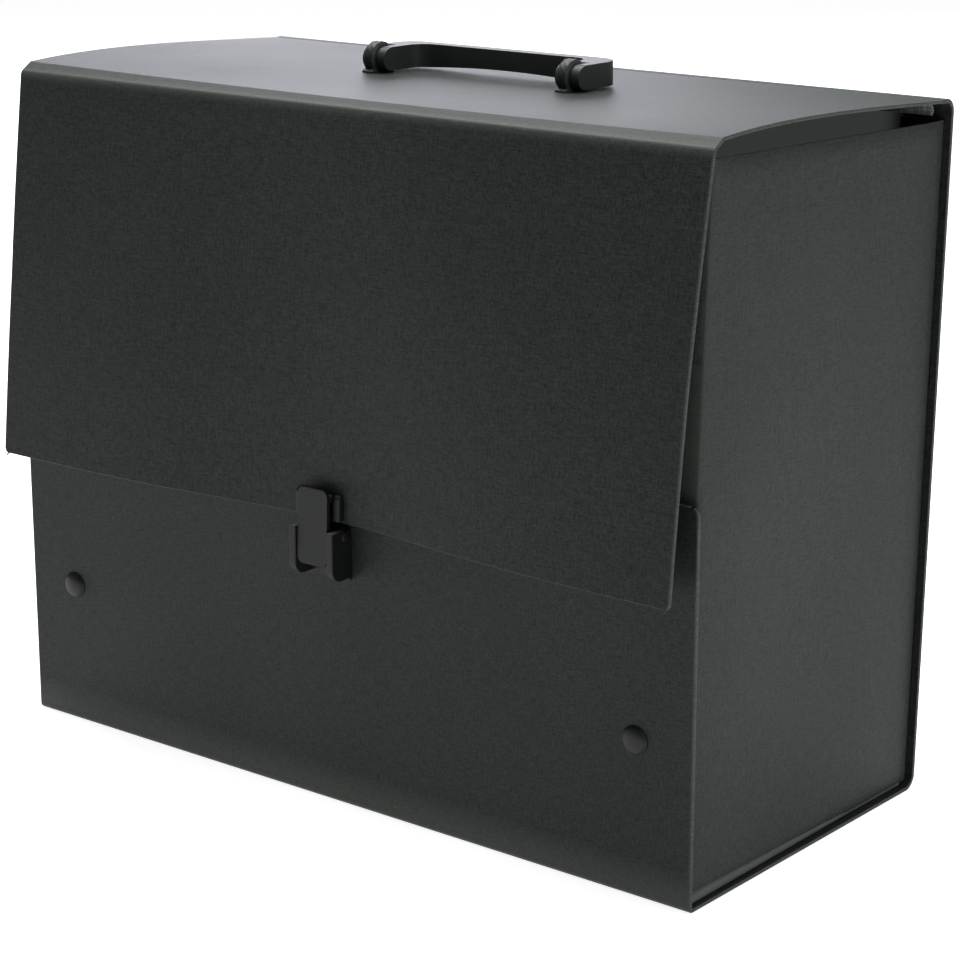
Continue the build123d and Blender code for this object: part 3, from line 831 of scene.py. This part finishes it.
# ---- cloth tape in the rear fold ---------------------------------------------------------------
def hinge_tape():
    """Cloth tape inside the rear fold, both ends a little frayed."""
    top_z = lid_rear_z - board - 0.15 * MM
    path = rounded_path(
        [
            (rear_face_y(296 * MM) - board - 0.1 * MM, 298.4 * MM),
            (rear_face_y(rear_fold_z + 6 * MM) - board - 0.1 * MM, top_z),
            (84 * MM, top_z),
        ],
        [rear_fold_radius - board],
        3 * MM,
        arc_steps=8,
    )
    stations = along(path)
    low, high = -side_x + 6.0 * MM, side_x - 6.0 * MM

    def point(u, x):
        y, z = np.interp(u, stations, path[:, 0]), np.interp(u, stations, path[:, 1])
        near_end = max(0.0, (abs(x) - high + 10 * MM) / (10 * MM))
        ripple = 0.25 * MM * sin(u * 900) * near_end
        fray = 0.8 * MM * near_end * sin(u * 700)
        return np.array([x + fray, y - ripple - 0.5 * MM * near_end**2, z - ripple])

    outward = np.array([0.0, 0.7, 0.7])
    surface = facing(surface_from(point, (stations[0], stations[-1]), (low, high)), lambda where: outward)
    columns = spread(low, high, 9 * MM, [d * MM for d in (0.5, 1, 2, 3, 4, 6, 8)])
    parts = board_sheet(surface, list(stations), columns, 0.5 * MM, 0.12 * MM)
    piece = add_object("hinge_tape", parts[0], parts[1], [TAPE, TAPE, TAPE], parts[2], parts[3])
    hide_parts("hinge_liner")
    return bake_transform(piece)


# ---- rivets ------------------------------------------------------------------------------------
def rivet_caps(name, node, places):
    """Domed caps with a small flat rim and a shallow seat line."""
    caps = []
    profile = [(0.0, 0.0), (6.2, 0.0), (6.2, 0.35), (6.02, 0.62), (5.6, 0.86)]
    profile += [(5.6 * cos(a), 0.86 + 1.94 * sin(a)) for a in np.linspace(0.12, pi / 2, 12)]
    profile = [(r * MM, h * MM) for r, h in profile]
    for k, (origin, out) in enumerate(places):
        caps.append(lathe(f"{name}_{k}", profile, origin, out, [RIVET], segments=56))
    piece = join(name, caps)
    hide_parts(node)
    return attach(piece, "case")


# ---- handle and its lugs -----------------------------------------------------------------------
def handle_piece():
    """U-shaped bail lying back on the lid: forked arms, rounded corners, arched grip."""
    slot, thin, thick = 6.2 * MM, 1.8 * MM, 4.7 * MM
    nose_radius, corner, inner_corner = 5.2 * MM, 12 * MM, 8 * MM
    left, right = handle_low.x, handle_high.x
    inner_left, inner_right = -lug_x + slot / 2 + thick, lug_x - slot / 2 - thin
    near, far = pivot_y + 20.5 * MM, handle_high.y
    nose_y, slot_y = pivot_y - nose_radius, pivot_y + 8.6 * MM

    def fork(x):
        """The slot at x, going round it from its right side to its left."""
        left_wall, right_wall = x - slot / 2, x + slot / 2
        return [(right_wall, nose_y), (right_wall, slot_y), (left_wall, slot_y), (left_wall, nose_y)]

    outline = [(right, nose_y)] + arc_points((right - corner, far - corner), corner, 0, 90, 14)
    outline += arc_points((left + corner, far - corner), corner, 90, 180, 14) + [(left, nose_y)]
    outline += fork(-lug_x)[::-1] + [(inner_left, nose_y)]
    outline += arc_points((inner_left + inner_corner, near - inner_corner), inner_corner, 180, 90, 8)
    outline += arc_points((inner_right - inner_corner, near - inner_corner), inner_corner, 90, 0, 8)
    outline += [(inner_right, nose_y)] + fork(lug_x)[::-1]
    low, high = handle_low.z, handle_high.z
    middle_z = (low + high) / 2
    body = prism("handle_bail", outline, (0, 0, middle_z), (1, 0, 0), (0, 1, 0), high - low, 0.0, [PLASTIC])
    body.modifiers.clear()
    # round noses about the pivot
    nose = arc_points((pivot_y, pivot_z), nose_radius, 95, 265, 26)
    side_view = [(far + 1 * MM, high + 1 * MM), (pivot_y + 0.6 * MM, high + 1 * MM)] + nose
    side_view += [(pivot_y + 0.6 * MM, low - 1 * MM), (far + 1 * MM, low - 1 * MM)]
    tool = prism("nose_tool", side_view, (0, 0, 0), (0, 1, 0), (0, 0, 1), 0.14, 0.0, [PLASTIC])
    tool.modifiers.clear()
    cut(body, tool, "INTERSECT")
    # the grip's underside arches up
    middle, reach = (inner_left + inner_right) / 2, 42 * MM
    shares = [k / 12 - 1 for k in range(25)]
    arch = [(middle + reach * t, low + 1.6 * MM * (1 - t**2)) for t in shares]
    arch = [(middle - reach, low - 2 * MM)] + arch + [(middle + reach, low - 2 * MM)]
    tool = prism("arch_tool", arch, (0, far, 0), (1, 0, 0), (0, 0, 1), 0.06, 0.0, [PLASTIC])
    tool.modifiers.clear()
    cut(body, tool)
    soften(body, 0.85 * MM, 4)
    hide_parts("handle", "handle_pins")
    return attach(body, "carry_handle")


def handle_lug(name, node, x):
    """Round ear with a pebbled rim and a small foot on the lid."""
    foot_z = lid_face_z(x, pivot_y) - 0.1 * MM
    r, half = lug_radius, lug_thickness / 2
    edge = [(r - 1.7 * MM, half), (r - 0.9 * MM, half - 0.2 * MM), (r - 0.35 * MM, half - 0.6 * MM)]
    rim = [(r, half * (1 - k / 4)) for k in range(1, 8)]
    profile = [(0.0, half)] + edge + rim
    profile += [(a, -b) for a, b in edge[::-1]] + [(0.0, -half)]
    disc = lathe(name, profile, (x, pivot_y, pivot_z), (1, 0, 0), [PLASTIC], 112, pebbles=0.24 * MM)
    front = pivot_y - r - 0.6 * MM
    foot = [(front, foot_z), (front, foot_z + 1.0 * MM), (front + 1.6 * MM, foot_z + 1.9 * MM)]
    foot += [(pivot_y + r - 1.2 * MM, foot_z + 1.9 * MM)]
    foot += [(pivot_y + r, foot_z + 1.0 * MM), (pivot_y + r, foot_z)]
    base = prism(
        name + "_foot", foot, (x, 0, 0), (0, 1, 0), (0, 0, 1), lug_thickness, 0.45 * MM, [PLASTIC]
    )
    low = [(-0.03, 0.0), (0.05, 0.0), (0.05, -0.02), (-0.03, -0.02)]
    below = prism(name + "_below", low, (x, 0, foot_z), (0, 1, 0), (0, 0, 1), 0.02, 0.0, [PLASTIC])
    below.modifiers.clear()
    cut(disc, below)
    piece = join(name, [disc, base])
    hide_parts(node)
    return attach(piece, "lid_top")


# ---- latch -------------------------------------------------------------------------------------
latch_z = 141.2 * MM
latch_origin = Vector((0, flap_face_y(0, latch_z), latch_z))
latch_slope = (flap_face_y(0, latch_z) - flap_face_y(0, flap_bottom_z)) / (latch_z - flap_bottom_z)
latch_out = Vector((0, -1, latch_slope)).normalized()
latch_up = Vector((0, latch_slope, 1)).normalized()


def latch_solid(name, outline, x, width, bevel):
    """Solid across the latch from an outline in millimetres: out from the flap, and up along it."""
    points = [(a * MM, b * MM) for a, b in outline]
    origin = latch_origin + Vector((x * MM, 0, 0))
    return prism(name, points, origin, latch_out, latch_up, width * MM, bevel, [LATCH])


def hasp_plate():
    """Turning plate with rounded corners, a chamfered lip and a barrel on its pin."""
    front, back, top, bottom, width = 6.4, 4.2, 4.0, -29.9, 16.8
    outline = [(front, bottom), (front, top), (front - 0.6, top), (back, 1.0), (back, bottom)]
    plate = latch_solid("hasp_plate", outline, 0, width, 0.0)
    plate.modifiers.clear()
    face = rounded_outline(width * MM, (top - bottom) * MM, 3.2 * MM, (0, (top + bottom) / 2 * MM))
    tool = prism("corner_tool", face, latch_origin, (1, 0, 0), latch_up, 0.03, 0.0, [LATCH])
    tool.modifiers.clear()
    cut(plate, tool, "INTERSECT")
    soften(plate, 0.45 * MM, 3)
    barrel = latch_solid("hasp_barrel", arc_points((2.0, 0.0), 1.6, 0, 345, 23), 0, 16.4, 0.1 * MM)
    web = latch_solid("hasp_web", [(4.5, 1.0), (2.0, 1.0), (2.0, -1.6), (4.5, -1.6)], 0, 16.0, 0.3 * MM)
    ribs = [
        latch_solid("hasp_rib", [(4.5, -18.8), (4.5, -14.2), (0.4, -14.2), (0.4, -18.8)], x, 2.0, 0.3 * MM)
        for x in (-4.0, 4.0)
    ]
    piece = join("hasp_plate", [plate, barrel, web] + ribs)
    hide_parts("hasp")
    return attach(piece, "snap_hasp")


def hasp_base_piece():
    """Flange on the flap with two rounded ears that carry the hasp's pin."""
    strip = [(-0.2, -9.7), (1.2, -9.7), (1.2, -2.6), (-0.2, -2.6)]
    flange = latch_solid("hasp_base_flange", strip, 0, 25.0, 0.3 * MM)
    ears = []
    for x in (-10.75, 10.75):
        ear = [(-0.2, -9.7), (3.4, -9.7)] + arc_points((1.4, 0.0), 2.0, 0, 90, 8) + [(-0.2, 2.0)]
        ears.append(latch_solid("hasp_ear", ear, x, 3.5, 0.8 * MM))
    piece = join("hasp_base_piece", [flange] + ears)
    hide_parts("hasp_base")
    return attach(piece, "front_flap")


def keeper_cheek(side):
    """One cheek of the keeper, with a painted highlight on the front of its top, where light from above
    falls.
    """
    reach, low, high, corner = 12.65, 105.5, 127.5, 5.5
    outline = [(0, low), (0, high), (-reach, high)]
    outline += arc_points((-reach + corner, low + corner), corner, 180, 270, 12)
    outline = [(a * MM, b * MM) for a, b in outline]
    origin = (side * 10.6 * MM, front_y, 0)
    cheek = prism("keeper_cheek", outline, origin, (0, 1, 0), (0, 0, 1), 3.6 * MM, 0.45 * MM, [LATCH])
    # painted highlight: the front of the top face is set to 1 in the mesh attribute, which the plastic
    # shows as a lighter grey, standing in for light from above
    painted_highlight = cheek.data.attributes["wear"].data
    for vertex in cheek.data.vertices:
        if vertex.co.z > 127.3 * MM and vertex.co.y < front_y - 8 * MM:
            painted_highlight[vertex.index].value = 1.0
    return cheek


def keeper_boss(side):
    """Low round boss on the outside of a cheek."""
    profile = [(0.0, 0.55), (1.5, 0.55), (2.3, 0.42), (2.6, 0.0), (0.0, 0.0)]
    profile = [(r * MM, h * MM) for r, h in profile]
    origin = (side * 12.35 * MM, -91.5 * MM, 124.7 * MM)
    return lathe("keeper_boss", profile, origin, (side, 0, 0), [LATCH], 32)


def keeper_piece():
    """Bracket on the front panel: a plate and two cheeks with rounded bottoms."""
    plate = prism(
        "latch_keeper_piece",
        rounded_outline(24.8 * MM, 23.5 * MM, 2 * MM, (0, 115.75 * MM)),
        (0, front_y - 0.75 * MM, 0),
        (1, 0, 0),
        (0, 0, 1),
        1.5 * MM,
        0.25 * MM,
        [LATCH],
    )
    cheeks = [keeper_cheek(-1), keeper_boss(-1), keeper_cheek(1), keeper_boss(1)]
    piece = join("latch_keeper_piece", [plate] + cheeks)
    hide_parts("latch_keeper")
    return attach(piece, "case")


# ---- light, floor and camera -------------------------------------------------------------------
def studio():
    """White world and floor, a broad soft light behind and above, and a softer one from the right."""
    world = bpy.data.worlds.new("studio")
    bpy.context.scene.world = world
    world.use_nodes = True
    tree = world.node_tree
    backdrop = tree.nodes["Background"]
    backdrop.inputs["Color"].default_value = (1, 1, 1, 1)
    backdrop.inputs["Strength"].default_value = 1.1
    fill = tree.nodes.new("ShaderNodeBackground")
    fill.inputs["Color"].default_value = (0.96, 0.98, 1, 1)
    fill.inputs["Strength"].default_value = 0.17
    path = tree.nodes.new("ShaderNodeLightPath")
    mixed = tree.nodes.new("ShaderNodeMixShader")
    tree.links.new(path.outputs["Is Camera Ray"], mixed.inputs[0])
    tree.links.new(fill.outputs[0], mixed.inputs[1])
    tree.links.new(backdrop.outputs[0], mixed.inputs[2])
    tree.links.new(mixed.outputs[0], tree.nodes["World Output"].inputs["Surface"])

    bpy.ops.mesh.primitive_plane_add(size=30, location=(0, 0, 0))
    floor = bpy.context.object
    floor.name = "studio_floor"
    paper, tree, shader = new_material("studio_paper")
    shader.inputs["Base Color"].default_value = (0.6, 0.6, 0.6, 1)
    shader.inputs["Roughness"].default_value = 0.9
    shader.inputs["Emission Color"].default_value = (1, 1, 1, 1)
    shader.inputs["Emission Strength"].default_value = 0.82
    floor.data.materials.append(paper)


def area_light(name, location, target, size, energy, colour=(1, 1, 1)):
    """Square soft light aimed at a point."""
    data = bpy.data.lights.new(name, "AREA")
    data.shape = "RECTANGLE"
    data.size, data.size_y = size
    data.energy = energy
    data.color = colour
    lamp = bpy.data.objects.new(name, data)
    bpy.context.scene.collection.objects.link(lamp)
    lamp.location = location
    lamp.rotation_mode = "QUATERNION"
    lamp.rotation_quaternion = (Vector(target) - Vector(location)).to_track_quat("-Z", "Y")


def camera():
    """Long lens at the right-hand front corner, a little above the lid."""
    data = bpy.data.cameras.new("camera")
    data.sensor_width, data.lens = 36, 102.15
    data.shift_x, data.shift_y = 0.0012, 0.0034
    data.clip_end = 50
    view = bpy.data.objects.new("camera", data)
    bpy.context.scene.collection.objects.link(view)
    azimuth, elevation, distance = radians(38.99), radians(15.53), 1.2663
    back = Vector((sin(azimuth) * cos(elevation), -cos(azimuth) * cos(elevation), sin(elevation)))
    target = Vector((-0.0138, 0.0307, 0.1173))
    view.location = target + back * distance
    view.rotation_mode = "QUATERNION"
    view.rotation_quaternion = back.to_track_quat("Z", "Y")
    bpy.context.scene.camera = view


# ---- put it together ---------------------------------------------------------------------------
def paint_cad_nodes():
    """Materials for the CAD nodes that stay as they are."""
    plain = {
        "front_rivet_sockets": RIVET,
        "back_rivet_sockets": RIVET,
        "keeper_pin": BLACK_STEEL,
        "keeper_rivets": BLACK_STEEL,
        "keeper_backing_plate": STEEL,
        "handle_backing_plate": STEEL,
        "hasp_base_rivets": BLACK_STEEL,
        "hasp_backing_plate": STEEL,
        "hasp_pin": BLACK_STEEL,
    }
    for node, material in plain.items():
        mesh = frame["nodes"][node].data
        mesh.materials.clear()
        mesh.materials.append(material)


case_sheet()
lid_and_flap()
side_piece("right_side_board", "right_side_panel", 1)
side_piece("left_side_board", "left_side_panel", -1)
hinge_tape()
rivet_x, rivet_z = 162 * MM, 67.5 * MM
lean = atan2(rear_lean, 1)
front_places = [((x, front_y, rivet_z), (0, -1, 0)) for x in (-rivet_x, rivet_x)]
rear_out = (0, cos(lean), -sin(lean))
rear_places = [((x, rear_face_y(rivet_z), rivet_z), rear_out) for x in (-rivet_x, rivet_x)]
rivet_caps("front_caps", "front_rivet_caps", front_places)
rivet_caps("back_caps", "back_rivet_caps", rear_places)
handle_piece()
handle_lug("lug_left", "handle_lug_left", -lug_x)
handle_lug("lug_right", "handle_lug_right", lug_x)
hasp_plate()
hasp_base_piece()
keeper_piece()
paint_cad_nodes()
studio()
area_light("back_softbox", (-2.3, 1.45, 0.95), (0, 0, 0.31), (2.7, 1.6), 58, (0.97, 0.97, 1.08))
area_light("top_softbox", (-0.4, 0.4, 2.0), (-0.1, 0, 0.3), (1.6, 1.6), 66)
area_light("right_softbox", (2.0, 0.1, 1.3), (0.1, 0, 0.25), (1.2, 1.6), 14)
camera()
bpy.context.scene.view_settings.view_transform = "Standard"
